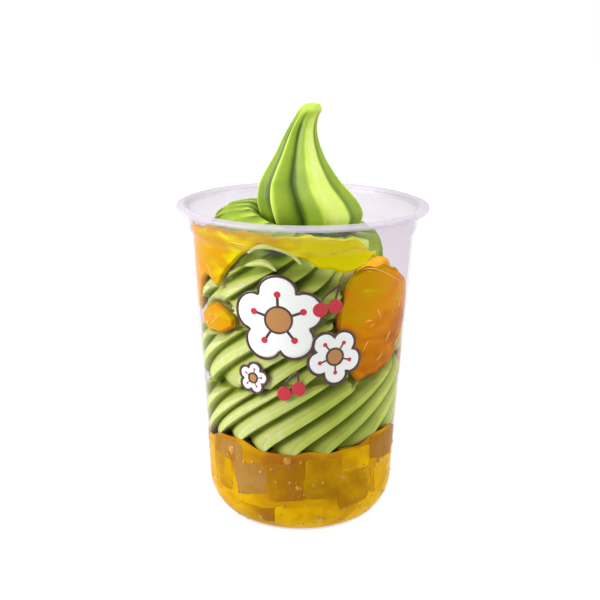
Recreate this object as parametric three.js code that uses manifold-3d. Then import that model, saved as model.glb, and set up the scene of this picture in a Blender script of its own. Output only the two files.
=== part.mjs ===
// A soft-serve sundae in a clear cup with a round bottom: amber jelly, a piped green swirl that ends in a
// peak above the rim, and fruit jam pressed against the wall. Millimetres, +Z up. The origin is the centre
// of the base, on the surface that the cup stands on. The front faces -Y. Bearings are in degrees round
// the cup's axis: 0 at the front, 90 at the right, -90 at the left.

import * as THREE from "three";
import { mergeVertices } from "three/addons/utils/BufferGeometryUtils.js";
import Module from "manifold-3d";

const wasm = await Module();
wasm.setup();

// ---------------------------------------------------------------- driving sizes
const GAP = 0.35; // between neighbours that touch

const CUP = {
  height: 122.5, // from the base to the crest of the rim
  wall: 0.8,
  rimRadius: 47.5,
  crestRadius: 44.9, // of the rim's crest
  rimDrop: 1.3, // the rim's outer edge hangs this far below its crest
  rimDepth: 3, // from the crest down to where the rim joins the neck
  neckRadius: 43.5,
  stepTop: { radius: 42.9, z: 114.2 }, // the small step that nested cups stack on
  stepFoot: { radius: 41.6, z: 111.4 },
  bodyFootRadius: 34.8, // where the round bottom starts
  cornerRadius: 20, // of the round bottom
  cornerSteps: 6,
  pushUp: 0.8, // height of the shallow recess in the middle of the base
  recessRadius: 9, // outside it the base is flat
  segments: 44,
};

const JELLY = {
  level: 34,
  edgeRound: 0.6, // how far its top edge is rounded down at the wall
  middleRadius: 28, // inside this the top is level
  heaps: [
    { bearing: 62, width: 48, rise: 5.2 },
    { bearing: -50, width: 38, rise: 3.4 },
    { bearing: 175, width: 60, rise: 3.1 },
  ],
};

const SWIRL = {
  ridges: 18, // round each coil
  // Columns of points across one ridge: the valley, three on the long upper face and the crest.
  ridgeColumns: [0, 0.26, 0.5, 0.7, 0.84],
  crest: 0.84,
  ridgeDepth: 4.8,
  unevenness: 2.4, // degrees that ridges stray from even spacing
  lean: 2.5, // degrees that a ridge slants to the right for each millimetre up
  tipCurl: 7, // degrees that the lower end of a ridge curls back, so that it hangs straighter
  tipDrop: 2.6, // how far the ridges' tips hang below the valleys between them
  coilRows: 7,
  wallClearance: 0.7,
  undersideGap: 0.9, // between the swirl's tips and the jelly
  waists: [61.5, 84], // heights of the waists between the coils, at the front
  waistClimb: 11, // of the waists, to the right, from bearing -90 to 90
  waistDepth: 5.5, // of the waists, from the wall
  frontWaist: 0.5, // the share of that depth at the front, where the coils are pressed together
  jamClearance: 1.5,
};

// The shoulder is the top coil's upper edge, from which the swirl dips to the foot of the peak.
const SHOULDER = { height: 116, tilt: 5, highestBearing: -110, radius: 24, bulge: 4, rows: 3 };

// A curled loop at the top of the swirl leaves a dent under the shoulder.
const DENT = { bearing: -19, width: 11, z: 111, height: 5, depth: 6 };

// The peak's crest line: sideways lean, crest radius and height, from under its foot to its tip.
const PEAK_OUTLINE = [
  [3.4, 13.5, 112.2],
  [3.5, 17.4, 114.4],
  [3.3, 19.3, 118.6],
  [2.0, 19.1, 122.6],
  [0.5, 17.8, 126.2],
  [-1.2, 15.0, 131.2],
  [-1.6, 11.8, 136.4],
  [-1.5, 9.0, 141.4],
  [-1.2, 7.0, 146.2],
  [-0.4, 5.5, 150.8],
  [1.1, 4.5, 155.0],
  [2.6, 4.2, 157.8],
  [3.3, 2.8, 159.6],
];
const PEAK_TIP = [3.6, 0, 160.3];
const PEAK_ROWS = 14;

// The peak's lobes: the bearings of each valley and of the sharp crest to its right, the valley's depth
// as a share of the crest radius, and the columns of points that a lobe takes.
const PEAK_LOBES = [
  { valley: -104, crest: -80, depth: 0.26, columns: 12 },
  { valley: -57, crest: -44, depth: 0.24, columns: 12 },
  { valley: -13, crest: 17, depth: 0.42, columns: 16 },
  { valley: 60, crest: 86, depth: 0.28, columns: 14 },
  { valley: 110, crest: 134, depth: 0.3, columns: 12 },
  { valley: 159, crest: 184, depth: 0.3, columns: 12 },
  { valley: 210, crest: 234, depth: 0.3, columns: 12 },
];

// The patches of jam against the wall: upper and lower edge as [bearing, height], and thickness.
const JAM = {
  jam_right: {
    thickness: 7.5,
    upper: [[20, 84], [24, 100], [33, 105], [47, 105], [62, 101.5], [76, 97], [86, 86]],
    lower: [[20, 84], [25, 69], [34, 61], [46, 62.5], [60, 66], [76, 74], [86, 86]],
  },
  jam_top: {
    thickness: 4.2,
    upper: [
      [-128, 98], [-112, 110], [-92, 114], [-72, 117], [-45, 118.5], [8, 117.6], [26, 116.5], [42, 109],
    ],
    lower: [
      [-128, 98], [-114, 86], [-96, 80], [-80, 83], [-65, 99], [-52, 94.5], [-43, 104], [-33, 109.5],
      [-18, 114], [-2, 110], [10, 105], [28, 104], [42, 109],
    ],
  },
  jam_left: {
    thickness: 4.5,
    upper: [[-72, 79], [-62, 86.5], [-54, 88], [-47, 88.6], [-41, 85]],
    lower: [[-72, 79], [-62, 76.5], [-54, 78], [-47, 81], [-41, 85]],
  },
  jam_back_right: {
    thickness: 3.2,
    upper: [[84, 62], [92, 72], [106, 77], [120, 72], [130, 62]],
    lower: [[84, 62], [94, 54], [108, 50], [122, 54], [130, 62]],
  },
};
const JAM_MESH = { edge: 0.7, columnsPerDegree: 0.22, rows: 6 }; // edge is the thickness at its rim

const MANGO_PIECE = { size: [17, 8, 9], bearing: 51, radius: 33.2, z: 100.4, tilt: 18, squareness: 0.7 };

// ---------------------------------------------------------------- small helpers
const rad = THREE.MathUtils.degToRad;
const lerp = THREE.MathUtils.lerp;
const smooth = (x, low = 0, high = 1) => THREE.MathUtils.smoothstep(x, low, high);

// A bearing, a radius and a height as a point.
function at(bearing, radius, z) {
  return [radius * Math.sin(rad(bearing)), -radius * Math.cos(rad(bearing)), z];
}

// The shortest way between two bearings, in degrees.
function turn(from, to) {
  return ((((to - from) % 360) + 540) % 360) - 180;
}

// 1 within plateau degrees of a bearing, falling smoothly to 0 at width degrees to either side.
function near(bearing, centre, width, plateau = 0) {
  return 1 - smooth(Math.abs(turn(centre, bearing)), plateau, width);
}

// A value between [position, value] pairs, on straight lines or on a smooth curve without overshoot.
function along(pairs, x, curved = true) {
  if (x <= pairs[0][0]) return pairs[0][1];
  for (let i = 1; i < pairs.length; i++) {
    const [x0, y0] = pairs[i - 1];
    const [x1, y1] = pairs[i];
    if (x > x1) continue;
    const share = (x - x0) / (x1 - x0);
    return lerp(y0, y1, curved ? (1 - Math.cos(Math.PI * share)) / 2 : share);
  }
  return pairs[pairs.length - 1][1];
}

// A share from 0 to 1 that moves slowly at both ends.
function eased(share) {
  return (1 - Math.cos(Math.PI * share)) / 2;
}

// The closed surface of a stack of rings with equal counts of points, with a point to close each end.
function ringSolid(first, rings, last) {
  const count = rings[0].length;
  const lastIndex = 1 + rings.length * count;
  const index = [];
  for (let i = 0; i < count; i++) {
    const j = (i + 1) % count;
    index.push(0, 1 + j, 1 + i);
    index.push(lastIndex, lastIndex - count + i, lastIndex - count + j);
    for (let k = 0; k + 1 < rings.length; k++) {
      const a = 1 + k * count;
      const b = a + count;
      index.push(a + i, a + j, b + j, a + i, b + j, b + i);
    }
  }
  const geometry = new THREE.BufferGeometry();
  const positions = [first, ...rings.flat(), last].flat();
  geometry.setAttribute("position", new THREE.Float32BufferAttribute(positions, 3));
  geometry.setIndex(index);
  return geometry;
}

function toManifold(geometry) {
  const bare = geometry.clone();
  bare.deleteAttribute("normal");
  bare.deleteAttribute("uv");
  const merged = mergeVertices(bare, 1e-4);
  const vertProperties = new Float32Array(merged.attributes.position.array);
  const triVerts = new Uint32Array(merged.index.array);
  return new wasm.Manifold(new wasm.Mesh({ numProp: 3, vertProperties, triVerts }));
}

function fromManifold(solid) {
  const made = solid.getMesh();
  const geometry = new THREE.BufferGeometry();
  geometry.setAttribute("position", new THREE.BufferAttribute(new Float32Array(made.vertProperties), 3));
  geometry.setIndex(new THREE.BufferAttribute(new Uint32Array(made.triVerts), 1));
  return geometry;
}

// ---------------------------------------------------------------- cup
const CORNER_CENTRE = CUP.bodyFootRadius - CUP.cornerRadius;

// The cup's profile above its round bottom, as [height, outer radius].
const BODY_PROFILE = [
  [CUP.cornerRadius, CUP.bodyFootRadius],
  [CUP.stepFoot.z, CUP.stepFoot.radius],
  [CUP.stepTop.z, CUP.stepTop.radius],
  [CUP.height - CUP.rimDepth, CUP.neckRadius],
];

// The radius of the inside of the wall at a height.
function innerRadius(z) {
  if (z >= CUP.cornerRadius) return along(BODY_PROFILE, z, false) - CUP.wall;
  const inside = CUP.cornerRadius - CUP.wall;
  const below = Math.min(CUP.cornerRadius - z, inside);
  return CORNER_CENTRE + Math.sqrt(inside ** 2 - below ** 2);
}

// The radius that contents with upright steps of a few millimetres may fill at a height.
function fillRadius(z) {
  return innerRadius(z - 2) - GAP;
}

// The quarter circle of the round bottom at a radius, as [radius, height], from the base up.
function cornerArc(radius) {
  return Array.from({ length: CUP.cornerSteps + 1 }, (_, i) => {
    const angle = ((i / CUP.cornerSteps) * Math.PI) / 2;
    return [CORNER_CENTRE + radius * Math.sin(angle), CUP.cornerRadius - radius * Math.cos(angle)];
  });
}

function cupGeometry() {
  const { height, wall, rimRadius, crestRadius, rimDrop, pushUp, recessRadius } = CUP;
  const base = [[0, pushUp], [recessRadius - pushUp, pushUp], [recessRadius, 0]];
  const body = BODY_PROFILE.slice(1).map(([z, radius]) => [radius, z]);
  const rim = [
    [crestRadius, height - wall],
    [rimRadius - wall / 2, height - rimDrop - wall / 2],
    [rimRadius, height - rimDrop],
    [crestRadius + wall, height - wall / 5],
    [crestRadius, height],
    [CUP.neckRadius - wall / 2, height - wall],
  ];
  const outside = [...base, ...cornerArc(CUP.cornerRadius), ...body];
  const inside = [
    ...base.map(([radius, z]) => [radius, z + wall]),
    ...cornerArc(CUP.cornerRadius - wall),
    ...body.map(([radius, z]) => [radius - wall, z]),
  ];
  const profile = [...outside, ...rim, ...inside.reverse()];
  const points = profile.map(([radius, z]) => new THREE.Vector2(radius, z));
  return new THREE.LatheGeometry(points, CUP.segments).rotateX(Math.PI / 2);
}

// ---------------------------------------------------------------- jelly
// The height of the jelly's top near the wall, which is heaped up in places.
function jellyTop(bearing) {
  const heaps = JELLY.heaps.map((heap) => heap.rise * near(bearing, heap.bearing, heap.width));
  return JELLY.level + heaps.reduce((sum, rise) => sum + rise, 0);
}

function jellyGeometry() {
  const bearings = Array.from({ length: CUP.segments }, (_, i) => (360 * i) / CUP.segments);
  const ring = (radiusAt, zAt) => bearings.map((bearing) => at(bearing, radiusAt(bearing), zAt(bearing)));
  const base = CUP.wall + CUP.pushUp + GAP;
  const bottom = cornerArc(CUP.cornerRadius - CUP.wall - GAP);
  const wallRadius = (bearing) => innerRadius(jellyTop(bearing)) - GAP;
  const rings = bottom.map(([radius, z]) => ring(() => radius, () => Math.max(base, z)));
  rings.push(ring(wallRadius, (bearing) => jellyTop(bearing) - JELLY.edgeRound));
  rings.push(ring((bearing) => wallRadius(bearing) - JELLY.edgeRound, jellyTop));
  rings.push(ring(() => JELLY.middleRadius, (bearing) => lerp(JELLY.level, jellyTop(bearing), 0.65)));
  return ringSolid([0, 0, base], rings, [0, 0, JELLY.level]);
}

// ---------------------------------------------------------------- piped swirl
// The lower and upper edge of a coil at a bearing. The waists between coils climb to the right round the
// front and come down again at the back. The top coil ends at the shoulder, high at the left.
function coilSpan(coil, bearing) {
  const waistZ = (waist) => SWIRL.waists[waist] + (SWIRL.waistClimb / 2) * Math.sin(rad(bearing - 8));
  const shoulderZ = SHOULDER.height + SHOULDER.tilt * Math.cos(rad(bearing - SHOULDER.highestBearing));
  const low = coil === 0 ? jellyTop(bearing) + SWIRL.undersideGap : waistZ(coil - 1);
  const high = coil < SWIRL.waists.length ? waistZ(coil) : shoulderZ;
  return [low, high];
}

// The side where the top coil stands well clear of the wall: 1 at the right, 0 at the left.
function clearSide(bearing) {
  return near(bearing, 88, 95, 38);
}

// How far the ridges have slanted at a height, where above is the height over the coil's lower edge.
function leanAt(z, above) {
  return SWIRL.lean * (z - JELLY.level) - SWIRL.tipCurl * (1 - Math.exp(-above / 5));
}

// The height of a ridge's section at a share of its width: a long upper face, a crest and a steep drop.
function ridgeShape(share) {
  const { crest } = SWIRL;
  return share < crest ? Math.sin((share / crest) * (Math.PI / 2)) ** 0.9 : (1 - share) / (1 - crest);
}

// A coil's section from its underside (0) to its top (1): a fat round bulge.
function bulge(share) {
  return (1 - Math.abs(2 * share - 1) ** 2.6) ** (1 / 2.2);
}

// How much of a patch of jam lies at a bearing and height, from 0 outside it to 1 well inside it.
function jamCover(patch, bearing, z) {
  const margin = 3;
  const first = patch.upper[0][0];
  const last = patch.upper.at(-1)[0];
  const where = first + turn(first, bearing);
  const sideways = Math.min(where - first, last - where) + margin;
  const upright = Math.min(z - along(patch.lower, where), along(patch.upper, where) - z) + margin;
  return THREE.MathUtils.clamp(Math.min(sideways, upright) / (margin + 1), 0, 1);
}

// The largest radius that the swirl may have: clear of the wall and of the jam.
function roomAt(bearing, z) {
  const depths = Object.values(JAM).map((patch) => {
    return (patch.thickness + SWIRL.jamClearance) * jamCover(patch, bearing, z);
  });
  return innerRadius(z) - SWIRL.wallClearance - Math.max(...depths);
}

function dentDepth(bearing, z) {
  const off = Math.hypot(turn(DENT.bearing, bearing) / DENT.width, (z - DENT.z) / DENT.height);
  return DENT.depth * (1 - smooth(off, 0.35, 1));
}

// A point of a coil, at a share of the way up it, where ridge is the ridge's height from 0 to 1.
function coilPoint(coil, bearing, share, ridge) {
  const z = lerp(...coilSpan(coil, bearing), share);
  const wall = innerRadius(z) - SWIRL.wallClearance;
  const clear = clearSide(bearing);
  const topCoil = coil === SWIRL.waists.length;
  const top = topCoil ? smooth(share, lerp(0.3, 0, clear), lerp(1, 0.7, clear)) : 0;
  const pressed = lerp(1, SWIRL.frontWaist, near(bearing, 5, 70));
  const waist = lerp(wall - SWIRL.waistDepth * pressed, SHOULDER.radius, top);
  const full = lerp(wall, lerp(wall - 2 * SHOULDER.bulge, SHOULDER.radius + SHOULDER.bulge, clear), top);
  const round = bulge(share);
  const depth = SWIRL.ridgeDepth * (1 - ridge) * (0.4 + 0.6 * round);
  const tip = SWIRL.tipDrop * (1 - ridge) * (1 - share) ** 5;
  const radius = Math.min(lerp(waist, full, round) - depth, roomAt(bearing, z)) - dentDepth(bearing, z);
  return at(bearing, radius, z + tip);
}

// A column's bearing and the height of its ridge, at a share of the way up a coil. The slant depends on
// the height, which depends on the bearing, so it is found in a few passes.
function columnAt(column, coil, share) {
  const across = SWIRL.ridgeColumns;
  const place = across[column % across.length];
  const even = ((Math.floor(column / across.length) + place) * 360) / SWIRL.ridges;
  const stray = SWIRL.unevenness * (Math.sin(rad(3 * even + 40)) + 0.7 * Math.sin(rad(5 * even + 200)));
  let bearing = even;
  for (let pass = 0; pass < 8; pass++) {
    const [low, high] = coilSpan(coil, bearing);
    const z = lerp(low, high, share);
    bearing = even + stray + leanAt(z, z - low);
  }
  return { bearing: turn(0, bearing), ridge: ridgeShape(place) };
}

// The bearing of each of the peak's columns, with its share of the crest radius. In each lobe the first
// half of the columns rises from its valley to its crest, and the others fall to the next valley.
const PEAK_COLUMNS = PEAK_LOBES.flatMap((lobe, i) => {
  const next = PEAK_LOBES[(i + 1) % PEAK_LOBES.length];
  return Array.from({ length: lobe.columns }, (_, k) => {
    const offCrest = Math.abs(1 - (2 * k) / lobe.columns);
    const { valley, depth } = 2 * k < lobe.columns ? lobe : next;
    return { bearing: lobe.crest + turn(lobe.crest, valley) * offCrest, grooved: 1 - depth * offCrest };
  });
});

function swirlGeometry() {
  const columns = SWIRL.ridges * SWIRL.ridgeColumns.length;
  const rings = [];
  const ring = (pointOf) => rings.push(Array.from({ length: columns }, (_, column) => pointOf(column)));

  // The flat underside, over the jelly.
  const middle = [0, 0, JELLY.level + SWIRL.undersideGap];
  for (const share of [0.4, 0.8]) {
    ring((column) => {
      const { bearing, ridge } = columnAt(column, 0, 0);
      const [low] = coilSpan(0, bearing);
      return at(bearing, JELLY.middleRadius * share, lerp(middle[2], low, share) + 1 - ridge);
    });
  }

  // The coils, one on the other.
  const top = SWIRL.waists.length;
  for (let coil = 0; coil <= top; coil++) {
    for (let row = 0; row < SWIRL.coilRows; row++) {
      const share = eased((row + 0.4) / (SWIRL.coilRows - 0.2));
      ring((column) => {
        const { bearing, ridge } = columnAt(column, coil, share);
        return coilPoint(coil, bearing, share, ridge);
      });
    }
  }

  // The dip behind the shoulder, where the columns slide round to the nearest places on the peak.
  const start = columnAt(0, top, 1).bearing;
  const misses = PEAK_COLUMNS.map(({ bearing }) => Math.abs(turn(start, bearing)));
  const offset = misses.indexOf(Math.min(...misses));
  const peakColumn = (column) => PEAK_COLUMNS[(column + offset) % columns];
  const [footLean, footRadius, footZ] = PEAK_OUTLINE[0];
  for (let row = 0; row < SHOULDER.rows; row++) {
    const share = (row + 0.5) / SHOULDER.rows;
    ring((column) => {
      const from = columnAt(column, top, 1);
      const bearing = from.bearing + turn(from.bearing, peakColumn(column).bearing) * share;
      const radius = lerp(SHOULDER.radius - 2.5 - 1.5 * (1 - from.ridge), footRadius, share);
      const shoulderZ = coilSpan(top, bearing)[1];
      const z = lerp(shoulderZ + 0.6, Math.min(shoulderZ, footZ), smooth(share));
      const [x, y] = at(bearing, radius * (1 - 0.12 * share), z);
      return [x + footLean * share, y, z];
    });
  }

  // The peak, whose lobes fade into a round tip.
  const crestPoints = PEAK_OUTLINE.map((point) => new THREE.Vector3(...point));
  const crestLine = new THREE.CatmullRomCurve3(crestPoints, false, "centripetal");
  for (let row = 0; row <= PEAK_ROWS; row++) {
    const share = (row / PEAK_ROWS) ** 1.15;
    const { x: sideways, y: radius, z } = crestLine.getPoint(share);
    ring((column) => {
      const { bearing, grooved } = peakColumn(column);
      const [x, y] = at(bearing, radius * lerp(grooved, 1, smooth(share, 0.72, 0.95)), z);
      return [x + sideways, y, z];
    });
  }
  return ringSolid(middle, rings, PEAK_TIP);
}

// ---------------------------------------------------------------- jam and fruit
// A patch of jam against the wall, in upright slices. grow widens it on every side.
function jamGeometry(patch, grow = 0) {
  const first = patch.upper[0];
  const last = patch.upper.at(-1);
  const columns = Math.round((last[0] - first[0]) * JAM_MESH.columnsPerDegree);
  const rows = Array.from({ length: JAM_MESH.rows + 1 }, (_, k) => k / JAM_MESH.rows);
  const slices = [];
  for (let i = 1; i < columns; i++) {
    const share = i / columns;
    const bearing = lerp(first[0] - grow, last[0] + grow, eased(share));
    const low = along(patch.lower, bearing) - grow;
    const high = along(patch.upper, bearing) + grow;
    const swell = (patch.thickness - JAM_MESH.edge) * Math.sin(Math.PI * share) ** 0.4;
    const point = (up, depth) => {
      const z = lerp(low, high, up);
      return at(bearing, fillRadius(z) - depth, z);
    };
    const depthAt = (up) => JAM_MESH.edge + swell * Math.sin(Math.PI * up) ** 0.6;
    const innerSide = rows.map((up) => point(up, depthAt(up) + grow));
    const wallSide = rows.map((up) => point(up, -grow));
    slices.push([...innerSide, ...wallSide.reverse()]);
  }
  const end = ([bearing, z], side) => at(bearing + side * grow, fillRadius(z) - JAM_MESH.edge / 2, z);
  return ringSolid(end(first, -1), slices, end(last, 1));
}

// A cut piece of mango with rounded edges, lying on the jam at the right. grow widens it on every side.
function mangoGeometry(grow = 0) {
  const { size, bearing, radius, z, tilt, squareness } = MANGO_PIECE;
  const geometry = new THREE.SphereGeometry(1, 14, 9);
  const position = geometry.attributes.position;
  for (let i = 0; i < position.count; i++) {
    const ball = [position.getX(i), position.getY(i), position.getZ(i)];
    const box = ball.map((v, axis) => Math.sign(v) * Math.abs(v) ** squareness * (size[axis] / 2 + grow));
    position.setXYZ(i, ...box);
  }
  return geometry.rotateY(rad(-tilt)).rotateZ(rad(bearing)).translate(...at(bearing, radius, z));
}

// ---------------------------------------------------------------- assembly
const sundae = new THREE.Group();

function addNode(name, geometry, look) {
  const mesh = new THREE.Mesh(geometry, new THREE.MeshStandardMaterial({ metalness: 0, ...look }));
  mesh.name = name;
  sundae.add(mesh);
}

const jamLook = { color: "#dd8f10", roughness: 0.15 };
addNode("cup", cupGeometry(), { color: "#eceaee", roughness: 0.2, transparent: true, opacity: 0.3 });
addNode("jelly", jellyGeometry(), { color: "#c08a14", roughness: 0.1 });
addNode("mango_piece", mangoGeometry(), { color: "#e39a16", roughness: 0.25 });

const mangoRoom = toManifold(mangoGeometry(GAP));
let swirl = toManifold(swirlGeometry()).subtract(mangoRoom);
for (const [name, patch] of Object.entries(JAM)) {
  swirl = swirl.subtract(toManifold(jamGeometry(patch, GAP)));
  addNode(name, fromManifold(toManifold(jamGeometry(patch)).subtract(mangoRoom)), jamLook);
}
addNode("soft_serve", fromManifold(swirl), { color: "#a9c653", roughness: 0.5 });

export default sundae;
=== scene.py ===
# A soft-serve sundae in a clear cup, dressed for the photograph: a moulded polypropylene cup with a
# printed front, set amber jelly with cubes and bubbles, a piped green swirl, and mango jam on the wall.
# Sizes are in millimetres and become metres when a mesh is made. The origin is the centre of the base, +Z
# is up and the front faces -Y. Bearings are in degrees round the cup: 0 front, 90 right, -90 left.

import math
from functools import partial

import bpy
import numpy as np
from mathutils import Euler, Matrix, Vector


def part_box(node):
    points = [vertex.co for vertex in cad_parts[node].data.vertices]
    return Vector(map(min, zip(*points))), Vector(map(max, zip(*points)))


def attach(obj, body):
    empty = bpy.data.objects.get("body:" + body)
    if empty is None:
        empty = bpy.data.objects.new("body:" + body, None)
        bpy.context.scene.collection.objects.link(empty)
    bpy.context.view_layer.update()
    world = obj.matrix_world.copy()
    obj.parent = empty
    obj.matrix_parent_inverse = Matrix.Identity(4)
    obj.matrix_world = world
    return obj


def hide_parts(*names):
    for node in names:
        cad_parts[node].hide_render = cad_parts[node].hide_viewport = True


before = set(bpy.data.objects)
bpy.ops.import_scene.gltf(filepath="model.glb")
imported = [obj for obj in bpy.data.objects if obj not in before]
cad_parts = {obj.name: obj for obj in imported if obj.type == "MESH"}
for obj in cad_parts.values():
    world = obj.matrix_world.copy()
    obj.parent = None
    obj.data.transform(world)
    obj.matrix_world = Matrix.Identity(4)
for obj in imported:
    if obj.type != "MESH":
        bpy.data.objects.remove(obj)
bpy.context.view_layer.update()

MM = 0.001

# ---------------- sizes, from the frame where it gives them
CUP_HIGH = np.array(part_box("cup")[1]) / MM
HEIGHT = CUP_HIGH[2]
RIM_RADIUS = CUP_HIGH[0]
WALL = 0.8
CUP_COLUMNS = 192
CREST_RADIUS = RIM_RADIUS - 2.6
RIM_DROP = 1.3
NECK_RADIUS = RIM_RADIUS - 4
BODY_FOOT_RADIUS = 34.8
CORNER_RADIUS = 20.0
CORNER_CENTRE = BODY_FOOT_RADIUS - CORNER_RADIUS
PUSH_UP = 0.8
RECESS_RADIUS = 9.0
STEP_FOOT = (111.4, 41.6)
STEP_TOP = (114.2, 42.9)
STEP_HAZE = 0.03
BODY_PROFILE = [(CORNER_RADIUS, BODY_FOOT_RADIUS), STEP_FOOT, STEP_TOP, (HEIGHT - 3, NECK_RADIUS)]
INTO_WALL = 0.2  # how far what fills the cup reaches into its wall, so that no air gap shows
UNDER_WALL = -0.03  # the edge of a film of ink, closed against the wall
PRINT_MIDDLE = 80.0  # the height at which the print's widths are true

JELLY_LEVEL = 34.0
JELLY_MIDDLE = 28.0
JELLY_HEAPS = [(62, 48, 5.2), (-50, 38, 3.4), (175, 60, 3.1)]  # bearing, width, rise
BLOCK_INTO_WALL = 0.22  # a cut block of jelly shows in front of the gel round it
BLOCK_STAGGER = 0.012  # and each block a little in front of the last, where two overlap
# The blocks of jelly that press on the front of the wall: bearing, height, width, upright size and colour.
# Colour runs from the cloudy tan of a block (0) to a bright yellow (1), which is painted glow on the low and
# side blocks.
JELLY_BLOCKS = [
    (-33, 24, 14.5, 14, 0.0), (-21, 9.5, 9, 8, 0.3), (-57, 24, 11, 15, 0.6), (-54, 9.5, 14, 13, 0.75),
    (-1, 8, 18, 13, 0.95), (69, 21, 18, 17, 0.9), (55, 9, 17, 14, 1.0), (62, 35, 21, 12, 0.22),
    (36, 33, 13, 12, 0.8), (-9, 24, 15, 15, 0.3), (13, 25, 13, 16, 0.5), (35, 20, 14, 15, 0.5),
    (24, 8, 14, 12, 0.8), (-36, 8.5, 12, 11, 0.6), (-80, 25, 16, 18, 0.7), (-78, 9, 15, 13, 0.75),
    (82, 8, 13, 12, 0.75), (-52, 33.5, 17, 8, 0.12),
]
# The largest bubbles: bearing, height and radius.
JELLY_BUBBLES = [
    (-8, 33, 1.5), (-47, 33.5, 1.6), (-1.5, 21.6, 1.0), (-11, 14, 0.9), (13.5, 8.5, 1.3), (26.5, 25, 0.9),
    (58, 28, 1.1), (28, 29.3, 0.6), (33, 28.6, 0.5), (38, 27.6, 0.6), (42, 26.5, 0.5),
]
SMALL_BUBBLES = 230

RIDGES = 18
RIDGE_CREST = 0.84
RIDGE_DEPTH = 4.8
UNEVENNESS = 2.4
LEAN = 2.5
TIP_CURL = 7.0
TIP_DROP = 2.6
SWIRL_TO_WALL = 0.7
SUNK = 1.2  # how far the swirl's underside sinks into the jelly
SWELL = 2.4  # how much further the crests would reach if the wall weren't there
PRESS_BEND = 0.25
PRESSED_INTO_WALL = 0.12
WAISTS = [61.5, 84.0]
WAIST_CLIMB = 11.0
WAIST_DEPTH = 5.5
FRONT_WAIST = 0.5
JAM_CLEARANCE = 1.5
SHOULDER_HEIGHT = 116
SHOULDER_TILT = 5
SHOULDER_BEARING = -110
SHOULDER_RADIUS = 24
SHOULDER_BULGE = 4
DENT_BEARING = -17
DENT_WIDTH = 13
DENT_Z = 110
DENT_HEIGHT = 4.6
DENT_DEPTH = 7
# The curled lips at the hollow: half their thickness, and bearing and height along them.
CURL_STROKES = [
    (1.7, [(-29, 110.5), (-24.5, 113.2), (-18, 114.2), (-10.6, 113.3), (-5, 111), (-0.5, 107.4)]),
    (1.4, [(-31, 105.6), (-26, 106.6), (-21, 107.2), (-17, 106.4), (-13.5, 104.6)]),
]

# The peak's crest line: sideways lean, crest radius and height, from under its foot to its tip.
PEAK_OUTLINE = np.array([
    (3.4, 13.5, 112.2), (3.5, 17.4, 114.4), (3.3, 19.3, 118.6), (2.0, 19.1, 122.6), (0.5, 17.8, 126.2),
    (-1.2, 15.0, 131.2), (-1.6, 11.8, 136.4), (-1.5, 9.0, 141.4), (-1.2, 7.0, 146.2), (-0.4, 5.5, 150.8),
    (1.1, 4.5, 155.0), (2.6, 4.2, 157.8), (3.3, 2.8, 159.6),
])
PEAK_TIP = (3.6, 0, 160.3)
# Each lobe's tone, which is painted shade and lowest on the far left lobe, how much darker its valley is, as
# painted shade, and how much frostier the face on the right of its crest.
PEAK_TONES = [
    (0.3, 0.25, 0.0), (0.5, 0.35, 0.0), (0.45, 0.55, 0.75), (0.5, 0.3, 0.0), (0.5, 0.4, 0.1), (0.5, 0.4, 0.1),
    (0.5, 0.4, 0.1),
]
PEAK_GROOVE = 0.72  # the share of the lobes' depth that is left where the cream has slumped
# Each lobe: its valley's and its crest's bearing, the valley's depth as a share of the radius, and how many
# columns of points it has beside the others.
PEAK_LOBES = [
    (-104, -80, 0.26, 12), (-57, -44, 0.24, 12), (-13, 17, 0.42, 16), (63, 86, 0.2, 14),
    (110, 134, 0.3, 12), (159, 184, 0.3, 12), (210, 234, 0.3, 12),
]

# The patches of jam on the wall: thickness, and upper and lower edge as (bearing, height).
JAM = {
    "jam_right": (
        7.5,
        [(20, 84), (24, 100), (33, 105), (47, 105), (62, 101.5), (76, 97), (86, 86)],
        [(20, 84), (25, 69), (34, 61), (46, 62.5), (60, 66), (76, 74), (86, 86)],
    ),
    "jam_top": (
        4.2,
        [(-128, 98), (-112, 110), (-92, 114), (-72, 117), (-45, 118.5), (8, 117.6), (26, 116.5), (42, 109)],
        [(-128, 98), (-114, 86), (-96, 80), (-80, 83), (-65, 99), (-52, 94.5), (-43, 104), (-33, 109.5),
         (-18, 114), (-2, 110), (10, 105), (28, 104), (42, 109)],
    ),
    "jam_left": (
        4.5,
        [(-73, 82), (-70, 85), (-64, 87.4), (-57, 88.6), (-50, 88.6), (-45, 87.4), (-42, 85.6),
         (-40.5, 83.5)],
        [(-73, 82), (-70, 78.6), (-64, 76.6), (-57, 76.8), (-50, 78), (-45, 79.4), (-42, 81.2),
         (-40.5, 83.5)],
    ),
    "jam_back_right": (
        3.2,
        [(84, 62), (87, 68), (93, 73), (100, 76), (108, 77), (116, 75.2), (123, 71), (128, 66), (130, 62)],
        [(84, 62), (87, 57.5), (93, 53.6), (100, 51), (108, 50), (116, 51), (123, 54), (128, 58), (130, 62)],
    ),
}
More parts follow.
